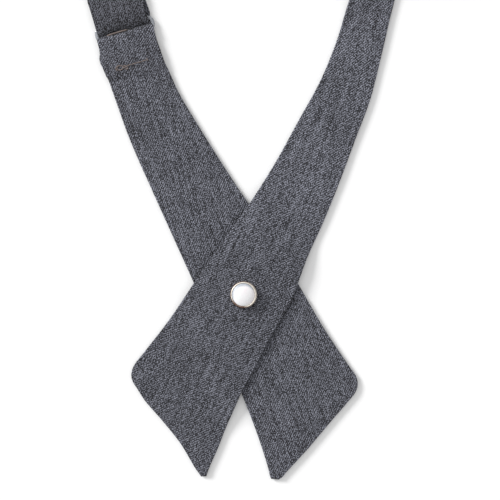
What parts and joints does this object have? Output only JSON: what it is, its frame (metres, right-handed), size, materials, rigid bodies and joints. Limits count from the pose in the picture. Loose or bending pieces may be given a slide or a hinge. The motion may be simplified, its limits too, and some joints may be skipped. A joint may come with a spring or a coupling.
{
  "type": "crossover tie",
  "caption": "Grey heather twill crossover neck tie: two pointed straps crossed under a white pearl snap, with an adjustable neckband on a clear ring and slider, lying face up.",
  "frame": {"origin": "on the pearl snap's axis, at the underside of its back disc, on the surface that the tie lies on", "axes": "+X to the right as the tie is seen face up, +Y from the blades towards the neckband, +Z out of the face"},
  "size_m": [0.1424, 0.2837, 0.0218],
  "materials": {
    "cloth": "heather twill",
    "clear_plastic": "clear, moulded",
    "pearl": "white pearl, polished",
    "rose_gold": "polished rose-gold plate",
    "snap_steel": "plated, satin"
  },
  "bodies": {
    "root": {"front_strap": "cloth", "back_strap": "cloth", "adjuster_ring": "clear_plastic", "band_slider": "clear_plastic", "pearl_cap": "pearl", "snap_rim": "rose_gold", "snap_post": "snap_steel"}
  },
  "joints": []
}
